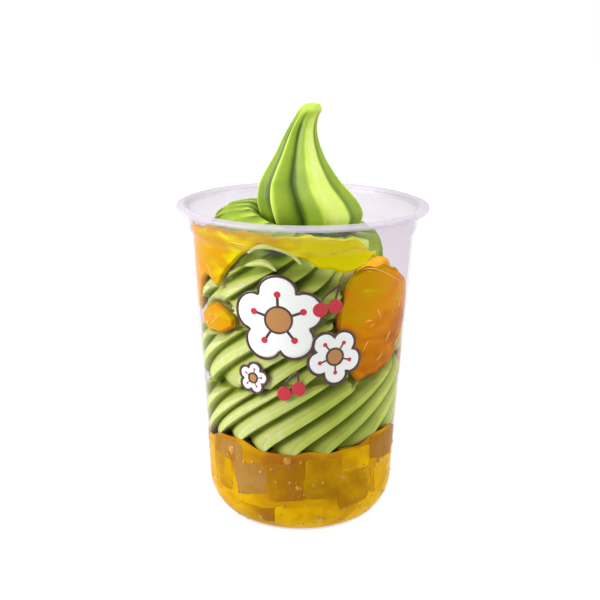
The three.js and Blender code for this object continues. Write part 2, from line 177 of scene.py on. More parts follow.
# Painted glints in the jam against the wall, and a painted highlight along the large patch's upper edge: half
# their thickness, and bearing and height along them.
PAINTED_GLINTS = [
    (0.3, [(31, 104.6), (37, 104.5), (43, 103.4), (50, 101.4), (58, 98.6), (68, 95.8)]),
    (0.4, [(43.8, 88.4), (46, 87), (47.6, 84.6)]), (0.4, [(41.4, 84.1), (38.5, 84.6), (35.8, 83.6)]),
    (0.35, [(28.3, 73.5), (30, 72.6), (31.8, 70.9)]), (0.4, [(58.4, 78.2), (56, 77), (53.9, 75)]),
    (0.45, [(73, 75.4), (69, 73.8), (64.3, 71.6)]), (0.35, [(39.4, 77.1), (37.6, 75.2), (35.7, 72.8)]),
    (0.3, [(23.6, 113.2), (30, 112.8), (36, 111.6)]), (0.35, [(-61.9, 103.5), (-58, 101), (-56.1, 98)]),
    (0.4, [(-73, 106.5), (-71, 101), (-70, 95)]), (0.35, [(-39.8, 114), (-33, 113.6), (-26.6, 113.4)]),
]
PULP_AND_GLINTS_PER_PATCH = 6

MANGO_SIZE = (17, 8, 9)
MANGO_BEARING = 51
MANGO_RADIUS = 33.2
MANGO_Z = 100.4
MANGO_TILT = 18
MANGO_SQUARENESS = 0.7

# The studio, in metres: each light's name, place, width and height, and power in watts.
LIGHTS = [
    ("key", (-0.6, -0.22, 0.42), (0.5, 0.55), 8.6),
    ("top", (0.2, -0.12, 0.8), (0.35, 0.35), 4.6),
    ("strip", (0.6, -0.08, 0.38), (0.2, 0.5), 2.6),
]
LIT_PLACE = (0, 0, 0.08)
ROOM_LIGHT = 0.33
FLOOR_REACH = 6.0
# The camera: its sensor and lens in millimetres, and its pitch and roll in degrees.
CAMERA_PLACE = (-0.00075, -0.85, 0.2804)
CAMERA_SENSOR = 36
CAMERA_LENS = 138.49
CAMERA_PITCH = 12.94
CAMERA_ROLL = 0.48


# ---------------- numbers
def rad(degrees):
    return np.radians(degrees)


def lerp(a, b, share):
    return a + (b - a) * share


def smooth(x, low=0.0, high=1.0):
    share = np.clip((x - low) / (high - low), 0, 1)
    return share * share * (3 - 2 * share)


def at(bearing, radius, z):
    """Bearings, radii and heights as points, in the last axis."""
    bearing, radius, z = np.broadcast_arrays(bearing, radius, z)
    return np.stack([radius * np.sin(rad(bearing)), -radius * np.cos(rad(bearing)), z], axis=-1)


def turn(start, end):
    """The shortest way between two bearings, in degrees."""
    return (end - start + 180) % 360 - 180


def near(bearing, centre, width, plateau=0.0):
    """1 within plateau degrees of a bearing, falling smoothly to 0 at width degrees to either side."""
    return 1 - smooth(np.abs(turn(centre, bearing)), plateau, width)


def along(pairs, x, curved=True):
    """A value between (position, value) pairs, on straight lines or on a smooth curve without overshoot."""
    places, values = np.array(pairs, float).T
    x = np.clip(x, places[0], places[-1])
    i = np.clip(np.searchsorted(places, x) - 1, 0, len(places) - 2)
    share = (x - places[i]) / (places[i + 1] - places[i])
    if curved:
        share = eased(share)
    return lerp(values[i], values[i + 1], share)


def eased(share):
    return (1 - np.cos(np.pi * share)) / 2


def wave_noise(points, size, seed, octaves=3):
    """Smooth noise from -1 to 1: sums of plane waves in random directions, about size millimetres long."""
    random = np.random.default_rng(seed)
    total = np.zeros(points.shape[:-1])
    weight = 0.0
    for octave in range(octaves):
        for _ in range(6):
            direction = random.normal(size=3)
            direction *= 2 * np.pi / (size * 0.5**octave * np.linalg.norm(direction))
            total += 0.6**octave * np.sin(points @ direction + random.uniform(0, 2 * np.pi))
        weight += 6 * 0.6**octave
    return total / weight * 2


# ---------------- meshes
def make_piece(name, points, faces, material, **attributes):
    """A mesh object from points in millimetres, riding on the part's one body."""
    mesh = bpy.data.meshes.new(name)
    mesh.from_pydata((np.asarray(points, float) * MM).tolist(), [], [tuple(map(int, face)) for face in faces])
    for label, values in attributes.items():
        layer = mesh.attributes.new(label, "FLOAT", "POINT")
        layer.data.foreach_set("value", np.asarray(values, dtype=np.float32).ravel())
    mesh.polygons.foreach_set("use_smooth", [True] * len(mesh.polygons))
    mesh.materials.append(material)
    mesh.update()
    piece = bpy.data.objects.new(name, mesh)
    bpy.context.collection.objects.link(piece)
    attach(piece, "root")
    return piece


def grid_faces(rows, columns):
    """Quads between rows of points, where each row closes on itself."""
    column = np.arange(columns)[None, :]
    right = (column + 1) % columns
    here = np.arange(rows - 1)[:, None] * columns
    above = here + columns
    return np.stack([here + column, here + right, above + right, above + column], axis=-1).reshape(-1, 4)


def capped(rows):
    """Points and faces of a stack of rings, closed at both ends by a point in the middle of the end ring."""
    count, columns = rows.shape[:2]
    points = np.concatenate([rows.reshape(-1, 3), rows[0].mean(0)[None], rows[-1].mean(0)[None]])
    rights = [(i + 1) % columns for i in range(columns)]
    middle = count * columns
    last = middle - columns
    foot = [(middle, right, i) for i, right in enumerate(rights)]
    head = [(middle + 1, last + i, last + right) for i, right in enumerate(rights)]
    return points, grid_faces(count, columns).tolist() + foot + head


def joined(shapes):
    """The points and faces of several shapes as those of one."""
    points, faces = [], []
    for shape_points, shape_faces in shapes:
        faces.extend([tuple(v + len(points) for v in face) for face in shape_faces])
        points.extend(shape_points.tolist())
    return points, faces


# ---------------- nodes
def srgb(text):
    """A colour from its hex text, turned from sRGB to linear."""
    values = [int(text[i:i + 2], 16) / 255 for i in (1, 3, 5)]
    linear = [v / 12.92 if v <= 0.04045 else ((v + 0.055) / 1.055) ** 2.4 for v in values]
    return (*linear, 1.0)


def per_mm(size):
    """A pattern's scale from the size in millimetres of what it draws."""
    return 1 / (size * MM)


def add_node(tree, kind, inputs=None, stops=(), **settings):
    """A node of a kind. An input takes a value, an output socket, or a node, which gives its first output.
    The stops are a colour ramp's, as (position, hex colour)."""
    node = tree.nodes.new("ShaderNode" + kind)
    for name, value in settings.items():
        setattr(node, name, value)
    for name, value in (inputs or {}).items():
        if isinstance(value, bpy.types.Node):
            value = value.outputs[0]
        if isinstance(value, bpy.types.NodeSocket):
            tree.links.new(value, node.inputs[name])
        else:
            node.inputs[name].default_value = value
    for _ in stops[2:]:
        node.color_ramp.elements.new(0.5)
    for i, (position, colour) in enumerate(stops):
        node.color_ramp.elements[i].position = position
        node.color_ramp.elements[i].color = srgb(colour)
    return node


def new_material(name):
    """An empty material, and the function that adds a node to it."""
    material = bpy.data.materials.new(name)
    material.use_nodes = True
    material.node_tree.nodes.clear()
    return material, partial(add_node, material.node_tree)


def grazing(add, power):
    """A share that is 0 where a surface faces the eye and 1 at its edge, the same from both its sides."""
    facing = add("LayerWeight", {"Blend": 0.5}).outputs["Facing"]
    return add("Math", {0: facing, 1: power}, operation="POWER")


def strayed(add, attribute, pattern, amount):
    """A value that the mesh carries on its points, taken up and down a little by a pattern."""
    carried = add("Attribute", attribute_name=attribute).outputs["Fac"]
    spread = add("Math", {0: pattern, 1: -0.5}, operation="ADD")
    stray = add("Math", {0: spread, 1: amount}, operation="MULTIPLY")
    return add("Math", {0: carried, 1: stray}, operation="ADD")


# ---------------- materials
def moulded_polypropylene():
    """Clear PP, injection moulded: it lets what is behind it show, with a milky haze where it is thick."""
    material, add = new_material("Polypropylene, clear, injection moulded")
    milk = add("BsdfPrincipled", {"Base Color": srgb("#CAC4CE"), "Roughness": 0.3, "IOR": 1.49})
    clear = add("BsdfTransparent", {"Color": srgb("#F4F1F4")})
    gloss = add("BsdfGlossy", {"Color": srgb("#FFFFFF"), "Roughness": 0.06})
    dry = add("Attribute", attribute_name="dry").outputs["Fac"]
    mirror = add("MapRange", {0: grazing(add, 9.0), 3: 0.001, 4: 0.7})
    mirror = add("Math", {0: mirror, 1: dry}, operation="MULTIPLY")
    skin = add("MixShader", {0: mirror, 1: clear, 2: gloss})
    haze = add("Attribute", attribute_name="haze").outputs["Fac"]
    edge_haze = add("Math", {0: grazing(add, 8.0), 1: 0.5}, operation="MULTIPLY")
    edge_haze = add("Math", {0: edge_haze, 1: dry}, operation="MULTIPLY")
    total = add("Math", {0: haze, 1: edge_haze}, operation="ADD", use_clamp=True)
    add("OutputMaterial", {"Surface": add("MixShader", {0: total, 1: skin, 2: milk})})
    return material


def frozen_soft_serve():
    """Matcha soft serve, piped from a star nozzle: satin, a little translucent, with a fine icy grain."""
    material, add = new_material("Matcha soft serve, piped")
    place = add("TexCoord").outputs["Object"]
    mottle = add("TexNoise", {"Vector": place, "Scale": per_mm(9), "Detail": 4.0})
    # The tone on the points carries painted shade and painted highlights, strayed at random by the mottle.
    tone = strayed(add, "ridge", mottle, 0.5)
    colour = add("ValToRGB", {"Fac": tone}, [
        (0.0, "#42580E"), (0.3, "#6A821E"), (0.65, "#849C2A"), (1.0, "#B2C454"),
    ])
    # Where the tone runs past 1 a pale frost is mixed in: partly icy frost, partly painted highlight.
    frost = add("TexNoise", {"Vector": place, "Scale": per_mm(2.2), "Detail": 5.0, "Distortion": 0.4})
    frost_and_highlight = add("MapRange", {0: frost, 1: 0.45, 2: 0.75, 4: 0.6})
    crest = add("MapRange", {0: tone, 1: 0.95, 2: 1.35})
    frost_and_highlight = add("Math", {0: frost_and_highlight, 1: crest}, operation="MULTIPLY")
    thick = add("MapRange", {0: tone, 1: 1.1, 2: 1.6, 4: 0.8})
    frost_and_highlight = add("Math", {0: frost_and_highlight, 1: thick}, operation="ADD", use_clamp=True)
    colour = add("MixRGB", {"Fac": frost_and_highlight, "Color1": colour, "Color2": srgb("#C4D090")})
    grain = add("TexNoise", {"Vector": place, "Scale": per_mm(0.5), "Detail": 5.0})
    relief = add("Bump", {"Height": grain, "Strength": 0.18, "Distance": 0.2 * MM})
    add("OutputMaterial", {"Surface": add("BsdfPrincipled", {
        "Base Color": colour, "Roughness": 0.5, "IOR": 1.4, "Specular IOR Level": 0.35,
        "Subsurface Weight": 0.25, "Subsurface Radius": (1.0, 1.0, 0.35), "Subsurface Scale": 2.5 * MM,
        "Normal": relief,
    })})
    return material


def half_clear(add, colour, share):
    """Ends a material as jelly is where it wets the wall: clear to a share, and with little gloss."""
    add("OutputMaterial", {"Surface": add("BsdfPrincipled", {
        "Base Color": colour, "Roughness": 0.06, "IOR": 1.15, "Specular IOR Level": 0.0,
        "Transmission Weight": share,
    })})


def set_gel():
    """Amber gel, poured round the cut jelly and set, with a painted glow that makes it brightest near the
    bottom.
    """
    material, add = new_material("Amber gel, set")
    place = add("TexCoord").outputs["Object"]
    cloud = add("TexNoise", {"Vector": place, "Scale": per_mm(14), "Distortion": 0.5})
    height = add("SeparateXYZ", {"Vector": place}).outputs["Z"]
    # Painted light: a glow that grows towards the bottom, where light gathers in the jelly.
    low = add("MapRange", {0: height, 1: 28 * MM, 2: 6 * MM, 4: 0.35})
    bright = add("Math", {0: cloud, 1: low}, operation="ADD")
    colour = add("ValToRGB", {"Fac": bright}, [(0.35, "#BE7E1A"), (0.6, "#DCA410"), (0.85, "#FFCC00")])
    half_clear(add, colour, 0.4)
    return material


def cut_jelly():
    """Jelly cut in cubes and pressed on the wall: from cloudy tan through amber to a bright yellow that is
    painted glow.
    """
    material, add = new_material("Mango jelly, cut")
    place = add("TexCoord").outputs["Object"]
    cloud = add("TexNoise", {"Vector": place, "Scale": per_mm(7), "Distortion": 0.4})
    colour = add("ValToRGB", {"Fac": strayed(add, "tint", cloud, 0.8)}, [
        (0.0, "#BC9448"), (0.25, "#B67E12"), (0.5, "#C4960C"), (0.75, "#E4B404"), (1.0, "#FFD000"),
    ])
    half_clear(add, colour, 0.35)
    return material


def trapped_air():
    """Air caught between gel and wall: a small glossy dome, bright on the side of the light."""
    material, add = new_material("Air bubble in gel")
    clear = add("BsdfTransparent", {"Color": srgb("#FFFFFF")})
    skin = add("BsdfPrincipled", {
        "Base Color": srgb("#D09A14"), "Roughness": 0.06, "IOR": 1.5, "Coat Weight": 1.0,
        "Coat Roughness": 0.03,
    })
    share = add("MapRange", {0: grazing(add, 1.6), 3: 0.6, 4: 1.0})
    add("OutputMaterial", {"Surface": add("MixShader", {0: share, 1: clear, 2: skin})})
    return material


def mango_jam():
    """Mango jam, spooned in and pressed on the wall: wet, glossy and translucent, with pulp in it."""
    material, add = new_material("Mango jam, spooned")
    place = add("TexCoord").outputs["Object"]
    flow = add("Mapping", {"Vector": place, "Scale": (1, 1, 2.2)})
    pulp = add("TexNoise", {"Vector": flow, "Scale": per_mm(14), "Detail": 2.5, "Distortion": 0.7})
    colour = add("ValToRGB", {"Fac": strayed(add, "tint", pulp, 0.9)}, [
        (0.0, "#D8D000"), (0.25, "#BA9200"), (0.5, "#CA8204"), (0.75, "#AE640A"), (1.0, "#784410"),
    ])
    fibres = add("TexNoise", {"Vector": place, "Scale": per_mm(5), "Distortion": 0.6})
    relief = add("Bump", {"Height": fibres, "Strength": 0.25, "Distance": 1.0 * MM})
    add("OutputMaterial", {"Surface": add("BsdfPrincipled", {
        "Base Color": colour, "Roughness": 0.12, "IOR": 1.42, "Specular IOR Level": 0.04,
        "Subsurface Weight": 0.15, "Subsurface Radius": (0.7, 0.5, 0.08), "Subsurface Scale": 3 * MM,
        "Normal": relief,
    })})
    return material


def pulp_and_glints():
    """Bright strands in the jam: painted glints, and strands of mango pulp, wet and bright."""
    material, add = new_material("Mango pulp and painted glints")
    add("OutputMaterial", {"Surface": add("BsdfPrincipled", {
        "Base Color": srgb("#E0A010"), "Roughness": 0.15, "IOR": 1.45, "Coat Weight": 0.35,
        "Coat Roughness": 0.05,
    })})
    return material


def ripe_mango():
    """Mango flesh, cut: wet, with a faintly fibrous face."""
    material, add = new_material("Mango flesh, cut")
    place = add("TexCoord").outputs["Object"]
    fibre = add("TexNoise", {"Vector": place, "Scale": per_mm(3), "Detail": 4.0})
    colour = add("ValToRGB", {"Fac": fibre}, [(0.3, "#DD9A10"), (0.7, "#F0B81C")])
    relief = add("Bump", {"Height": fibre, "Strength": 0.3, "Distance": 0.4 * MM})
    add("OutputMaterial", {"Surface": add("BsdfPrincipled", {
        "Base Color": colour, "Roughness": 0.2, "IOR": 1.4, "Subsurface Weight": 0.5,
        "Subsurface Radius": (1.0, 0.5, 0.1), "Subsurface Scale": 3 * MM, "Normal": relief,
    })})
    return material


def screen_ink(name, colour):
    """Screen ink, cured: an even film with a soft sheen and a faint unevenness of thickness."""
    material, add = new_material(f"Screen ink, {name}")
    place = add("TexCoord").outputs["Object"]
    film = add("TexNoise", {"Vector": place, "Scale": per_mm(1.2)})
    rough = add("MapRange", {0: film, 1: 0.3, 2: 0.7, 3: 0.3, 4: 0.42})
    add("OutputMaterial", {
        "Surface": add("BsdfPrincipled", {"Base Color": srgb(colour), "Roughness": rough}),
    })
    return material


def pale_sweep():
    """Matt paper, laid flat: it glows so as to stay pale, and takes a soft shadow."""
    material, add = new_material("Matt paper")
    add("OutputMaterial", {"Surface": add("BsdfPrincipled", {
        "Base Color": srgb("#787878"), "Roughness": 0.9, "Emission Color": srgb("#FFFFFF"),
        "Emission Strength": 0.92,
    })})
    return material


# ---------------- cup
def outer_radius(z, inset=0.0):
    """The radius of the outside of the cup at a height, or of a face that lies further in."""
    bend = CORNER_RADIUS - inset
    below = np.clip(CORNER_RADIUS - np.asarray(z, float), 0, bend)
    corner = CORNER_CENTRE + np.sqrt(bend**2 - below**2)
    return np.where(z >= CORNER_RADIUS, along(BODY_PROFILE, z, False) - inset, corner)


def inner_radius(z):
    """The radius of the inside of the wall at a height."""
    return outer_radius(z, WALL)


def behind_wall(bearing, z, depth):
    """The point that lies a depth inside the inner face of the wall, square to it."""
    if z >= CORNER_RADIUS:
        return at(bearing, inner_radius(z) - depth, z)
    inside = CORNER_RADIUS - WALL
    slope = math.asin((CORNER_RADIUS - z) / inside)
    reach = inside - depth
    return at(bearing, CORNER_CENTRE + reach * math.cos(slope), CORNER_RADIUS - reach * math.sin(slope))


def arc(centre, radius, start, end, steps):
    """Points of (radius, height) on an arc of the profile, from one angle to another."""
    angles = rad(np.linspace(start, end, steps))
    return [(centre[0] + radius * math.cos(a), centre[1] + radius * math.sin(a)) for a in angles]


def cup_profile():
    """The cup's closed profile: out along the base, up the outside, over the rim and down the inside."""
    corner = (CORNER_CENTRE, CORNER_RADIUS)
    outside = [(0, PUSH_UP), (RECESS_RADIUS - 1.6, PUSH_UP), (RECESS_RADIUS, 0)]
    outside += arc(corner, CORNER_RADIUS, -90, 0, 28)
    straight = [(float(outer_radius(z)), z) for z in np.linspace(30, 110, 9)]
    straight += [(r, z) for z, r in BODY_PROFILE[1:]]
    outside += straight
    lip = 0.85
    rim = [(NECK_RADIUS + 0.3, HEIGHT - 2.2), (CREST_RADIUS - 0.2, HEIGHT - 1.4)]
    rim += [(RIM_RADIUS - 1.4, HEIGHT - RIM_DROP - 0.95)]
    rim += arc((RIM_RADIUS - lip, HEIGHT - RIM_DROP - 0.1), lip, -70, 80, 9)
    rim += arc((CREST_RADIUS, HEIGHT - 1.2), 1.2, 75, 150, 7)
    rim += [(NECK_RADIUS - WALL + 0.15, HEIGHT - 2.0)]
    inside = [(r - WALL, z) for r, z in reversed(straight)]
    inside += arc(corner, CORNER_RADIUS - WALL, 0, -90, 28)
    inside += [(RECESS_RADIUS, WALL), (RECESS_RADIUS - 1.6, PUSH_UP + WALL), (0, PUSH_UP + WALL)]
    return outside + rim + inside


def build_cup(material):
    """The cup's wall. Its points carry how hazy the plastic is there, and how dry, without food behind it."""
    radius, height = np.array(cup_profile(), float).T
    bearings = np.arange(CUP_COLUMNS) * 360 / CUP_COLUMNS
    points = at(bearings, radius[:, None], height[:, None]).reshape(-1, 3)
    z = points[:, 2]
    body_haze = 0.001 + STEP_HAZE * (np.abs(z - STEP_FOOT[0]) < 0.1)
    neck_haze = 0.006 * smooth(z, STEP_FOOT[0] - 1, STEP_TOP[0]) + 0.06 * smooth(z, 116, 124)
    rim_haze = 0.35 * smooth(z, HEIGHT - 3.4, HEIGHT - 1.6)
    inside = np.hypot(points[:, 0], points[:, 1]) < outer_radius(z) - WALL / 2
    filled = lerp(0.9, 0.55, smooth(z, 16, 34)) * (1 - smooth(z, 98, 110))
    wet = np.where(inside, z < JELLY_LEVEL, filled)
    cup = make_piece("cup_wall", points, grid_faces(len(radius), CUP_COLUMNS), material,
                     haze=body_haze + neck_haze + rim_haze, dry=1 - wet)
    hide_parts("cup")


# ---------------- print
def on_wall(across, up, lift):
    """Places on the outside of the cup, from millimetres across its front, heights and a lift off it."""
    across, up = np.asarray(across, float), np.asarray(up, float)
    return at(np.degrees(across / outer_radius(PRINT_MIDDLE)), outer_radius(up) + lift, up)


def ink_fills(name, shapes, material, lift):
    """Films of ink. Each shape is (across, up, outline), where outline gives its reach in each direction."""
    rings, columns = 8, 96
    angles = np.arange(columns) * 2 * np.pi / columns
    shares = np.append(np.linspace(1 / rings, 1, rings), 1.0)[:, None]
    lifts = np.append(np.full(rings, lift), UNDER_WALL)[:, None]
    faces = [(0, 1 + i, 1 + (i + 1) % columns) for i in range(columns)]
    faces += (grid_faces(rings + 1, columns) + 1)[:, ::-1].tolist()
    films = []
    for across, up, outline in shapes:
        x = across + outline(angles) * np.cos(angles) * shares
        z = up + outline(angles) * np.sin(angles) * shares
        films.append((np.vstack([on_wall(across, up, lift), on_wall(x, z, lifts).reshape(-1, 3)]), faces))
    make_piece(name, *joined(films), material)


def ink_lines(name, lines, material, lift):
    """Lines of ink. Each line is (points, width), a run of (across, up) points that may close on itself."""
    strips = []
    for path, width in lines:
        path = np.array(path, float)
        heading = np.gradient(path, axis=0)
        if np.allclose(path[0], path[-1]):
            heading[0] = heading[-1] = path[1] - path[-2]
        heading /= np.linalg.norm(heading, axis=1)[:, None]
        side = np.stack([-heading[:, 1], heading[:, 0]], axis=1) * width / 2
        left, right = path + side, path - side
        rows = [on_wall(*left.T, UNDER_WALL), on_wall(*left.T, lift), on_wall(*right.T, lift),
                on_wall(*right.T, UNDER_WALL)]
        quads = [(a, a + 1, a + 5, a + 4) for i in range(len(path) - 1) for a in range(4 * i, 4 * i + 3)]
        strips.append((np.stack(rows, axis=1).reshape(-1, 3), quads))
    make_piece(name, *joined(strips), material)


def blossom(radius, petals, start):
    """The outline of a flower with round petals, whose gaps reach a third of the way in."""
    def outline(angles):
        swell = np.abs(np.cos((angles - start) * petals / 2)) ** 0.55
        return radius * (0.66 + 0.34 * swell)
    return outline


def disc(radius):
    """The outline of a disc."""
    return lambda angles: np.full_like(angles, radius)


def ring_line(across, up, outline):
    """A closed run of points round an outline."""
    angles = np.linspace(0, 2 * np.pi, 121)
    reach = outline(angles)
    return np.stack([across + reach * np.cos(angles), up + reach * np.sin(angles)], axis=1)


def build_print():
    """A generic print in screen ink: three blossoms of different sizes, with pairs of cherries among them."""
    brown, white = screen_ink("brown", "#3C1E16"), screen_ink("white", "#D4D6D4")
    tan, red = screen_ink("tan", "#A06E34"), screen_ink("red", "#AC0A24")
    line, fine_line = 1.1, 0.8
    heart, cherry = 0.3, 2.7
    blossoms = [(-8.5, 86.5, 16.5, 5, 0.35), (12.5, 72.5, 10.5, 5, 1.0), (-19.0, 63.5, 6.0, 5, 0.1)]
    cherries = [((6.5, 90.5), (12.0, 91.5), (13.5, 99.5)), ((-6.5, 58.5), (-1.0, 60.5), (-1.5, 67.0))]
    outlines = [(x, z, blossom(r, n, s)) for x, z, r, n, s in blossoms]
    ink_fills("print_petals", outlines, white, 0.05)
    ink_lines("print_outlines", [(ring_line(*shape), line) for shape in outlines], brown, 0.08)
    hearts = [(x, z, disc(heart * r)) for x, z, r, _, _ in blossoms]
    ink_fills("print_hearts", hearts, tan, 0.08)
    rims = [(ring_line(*shape), fine_line) for shape in hearts]
    stamens, dots = [], []
    for x, z, r, petals, start in blossoms:
        for i in range(petals):
            angle = start + 2 * np.pi * i / petals
            way = np.array([math.cos(angle), math.sin(angle)])
            stamens.append((np.array([x, z]) + way * np.linspace(heart, 0.52, 5)[:, None] * r, 0.06 * r))
            dots.append((*(np.array([x, z]) + way * 0.58 * r), disc(0.075 * r)))
    ink_lines("print_stamens", rims + stamens, brown, 0.10)
    stems = []
    for one, other, top in cherries:
        for foot in (one, other):
            share = np.linspace(0, 1, 14)[:, None]
            bow = np.array([(foot[0] - top[0]) * 0.35, 0]) * np.sin(np.pi * share)
            stems.append((np.array(foot) * (1 - share) + np.array(top) * share + bow, fine_line))
    ink_lines("print_stems", stems, brown, 0.06)
    fruit = [(*foot, disc(cherry)) for pair in cherries for foot in pair[:2]]
    ink_fills("print_cherries", fruit + dots, red, 0.09)


# ---------------- jelly
def jelly_top(bearing):
    """The height of the jelly's surface at the wall."""
    return JELLY_LEVEL + sum(rise * near(bearing, place, width) for place, width, rise in JELLY_HEAPS)


def build_jelly(material):
    """The gel's body, which wets the wall and rises a little where it meets it."""
    columns = 160
    bearings = np.arange(columns) * 360 / columns
    rows = []
    base = PUSH_UP + WALL - INTO_WALL
    for radius, z in arc((CORNER_CENTRE, CORNER_RADIUS), CORNER_RADIUS - WALL + INTO_WALL, -90, 0, 24):
        rows.append(at(bearings, radius, max(base, z)))
    ripple = 0.5 * np.sin(rad(7 * bearings + 30)) + 0.35 * np.sin(rad(17 * bearings))
    top = jelly_top(bearings) + 0.9 + ripple
    for share in (0.3, 0.6, 0.9):
        z = lerp(CORNER_RADIUS, top - 0.7, share)
        rows.append(at(bearings, inner_radius(z) + INTO_WALL, z))
    for inset, drop in ((0.0, 0.25), (0.15, 0.05), (0.3, 0.0), (0.6, 0.4), (1.6, 1.4), (4.0, 2.2)):
        rows.append(at(bearings, inner_radius(top) + INTO_WALL - inset, top - drop))
    for share in (0.85, 0.7, 0.5, 0.25, 0.08):
        rows.append(at(bearings, 34 * share, lerp(JELLY_LEVEL, top - 2.2, share**2)))
    points, faces = capped(np.array(rows))
    wobble = wave_noise(points, 14, 5)
    lift = smooth(points[:, 2], 24, 31) * smooth(30 - np.hypot(points[:, 0], points[:, 1]), 0, 4)
    points[:, 2] += 0.8 * wobble * lift
    gel = make_piece("jelly_gel", points, faces, material)
    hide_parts("jelly")


def rounded_box(steps, squareness):
    """Points and quads of a box from -1 to 1, divided evenly, with its edges rounded: 1 gives a ball."""
    edge = np.arange(steps) * 2 / steps - 1
    one = np.ones(steps)
    sides = ((edge, -one), (one, edge), (-edge, one), (-one, -edge))
    square = np.concatenate([np.column_stack(side) for side in sides])
    inset = np.linspace(0, 1, steps // 2 + 1)[1:-1]
    rings = [(share, -1) for share in inset] + [(1, z) for z in np.linspace(-1, 1, steps + 1)]
    rings += [(share, 1) for share in inset[::-1]]
    rows = np.array([np.column_stack([square * share, np.full(len(square), z)]) for share, z in rings])
    power = 2 / squareness
    rows /= (np.abs(rows) ** power).sum(axis=-1, keepdims=True) ** (1 / power)
    return capped(rows)


def held_in(points, reach):
    """Points moved in to the inner face of the wall and a reach further, square to the wall."""
    radius = np.hypot(points[:, 0], points[:, 1])
    up = points[:, 2]
    out, down = radius - CORNER_CENTRE, np.minimum(up - CORNER_RADIUS, 0)
    room = np.where(down < 0, CORNER_RADIUS - WALL, inner_radius(up) - CORNER_CENTRE) + reach
    squeeze = np.minimum(1, room / np.maximum(np.hypot(np.maximum(out, 0), down), 0.01))
    new_radius = np.where(out > 0, CORNER_CENTRE + out * squeeze, radius)
    new_up = np.where(down < 0, CORNER_RADIUS + down * squeeze, up)
    return np.column_stack([points[:, :2] * (new_radius / radius)[:, None], new_up])


def build_jelly_cubes(material):
    """Cut cubes that press on the wall, where their outer faces flatten and show through it."""
    random = np.random.default_rng(12)
    blocks = list(JELLY_BLOCKS)
    for layer, z in enumerate((8.5, 19.0, 28.5)):
        for i in range(9):
            bearing = 96 + i * 20 + 7 * layer + random.uniform(-3, 3)
            # A painted glow: the lower a back block lies, the brighter its yellow.
            bright = 0.45 + 0.35 * (1 - layer / 2)
            blocks.append((bearing, z + random.uniform(-1, 1), random.uniform(12, 15), random.uniform(11, 14),
                           np.clip(bright + random.uniform(-0.3, 0.3), 0, 1)))
    shape, shape_faces = rounded_box(12, 0.26)
    placed = []
    for i, (bearing, z, width, height, _) in enumerate(blocks):
        lean = math.asin(max(0.0, CORNER_RADIUS - z) / (CORNER_RADIUS - WALL)) + random.uniform(-0.15, 0.15)
        turned = Matrix.Rotation(rad(bearing), 3, "Z") @ Matrix.Rotation(lean, 3, "X")
        turned = turned @ Matrix.Rotation(random.uniform(-0.25, 0.25), 3, "Y")
        cube = (shape * [width / 2, 5.5, height / 2]) @ np.array(turned).T + behind_wall(bearing, z, 4.0)
        cube[:, 2] = np.clip(cube[:, 2], PUSH_UP + WALL, jelly_top(bearing) - 0.4)
        placed.append((held_in(cube, BLOCK_INTO_WALL + BLOCK_STAGGER * (i % 12)), shape_faces))
    points, faces = joined(placed)
    tints = np.repeat([block[-1] for block in blocks], len(shape))
    cubes = make_piece("jelly_cubes", points, faces, material, tint=tints)
    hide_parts("jelly")


def build_bubbles(material):
    """Air bubbles flattened against the wall: mostly small, and a few large ones near the jelly's surface."""
    random = np.random.default_rng(4)
    shape, shape_faces = rounded_box(4, 1.0)
    bubbles = list(JELLY_BUBBLES)
    for _ in range(SMALL_BUBBLES):
        bearing, z = random.uniform(-180, 180), random.uniform(4, 33)
        bubbles.append((bearing, z, 0.25 + 0.55 * random.uniform() ** 2.5))
    placed = []
    for bearing, z, radius in bubbles:
        z = min(z, float(jelly_top(bearing)) - 0.3 - radius)
        centre = behind_wall(bearing, z, -BLOCK_INTO_WALL - 6 * BLOCK_STAGGER)
        outward = centre - behind_wall(bearing, z, 1.0)
        outward /= np.linalg.norm(outward)
        flat = shape * radius
        bulge = (0.25 + 0.16 * radius) / radius
        flat = flat - np.outer(flat @ outward, outward) * (1 - bulge)
        placed.append((flat + centre, shape_faces))
    air = make_piece("jelly_bubbles", *joined(placed), material)


# ---------------- piped swirl
def coil_span(coil, bearing):
    """The lower and upper edge of a coil. The waists climb to the right; the shoulder is high at the left."""
    def waist(i):
        return WAISTS[i] + WAIST_CLIMB / 2 * np.sin(rad(bearing - 8))
    shoulder = SHOULDER_HEIGHT + SHOULDER_TILT * np.cos(rad(bearing - SHOULDER_BEARING))
    low = jelly_top(bearing) - SUNK if coil == 0 else waist(coil - 1)
    high = waist(coil) if coil < len(WAISTS) else shoulder
    return low, high


def lean_at(z, above):
    """How many degrees round the ridges have slanted at a height, less their curl above the coil's foot."""
    return LEAN * (z - JELLY_LEVEL) - TIP_CURL * (1 - np.exp(-above / 5))


def ridge_shape(share):
    """A ridge's section across its width: a long upper face, a rounded crest and a steep drop."""
    rise = 1 - (1 - np.clip(share / RIDGE_CREST, 0, 1)) ** 1.35
    drop = 1 - smooth(share, RIDGE_CREST, 1)
    return np.where(share < RIDGE_CREST, rise, drop)


def jam_cover(patch, bearing, z):
    """How much of a patch of jam lies at a bearing and height, from 0 outside it to 1 well inside it."""
    _, upper, lower = patch
    margin = 3.0
    where = upper[0][0] + turn(upper[0][0], bearing)
    sideways = np.minimum(where - upper[0][0], upper[-1][0] - where) + margin
    upright = np.minimum(z - along(lower, where), along(upper, where) - z) + margin
    return np.clip(np.minimum(sideways, upright) / (margin + 1), 0, 1)


def room_at(bearing, z):
    """The largest radius that the swirl may have: just into the wall, and clear of the jam."""
    depths = [(jam[0] + JAM_CLEARANCE) * jam_cover(jam, bearing, z) for jam in JAM.values()]
    return inner_radius(z) + PRESSED_INTO_WALL - np.maximum.reduce(depths)


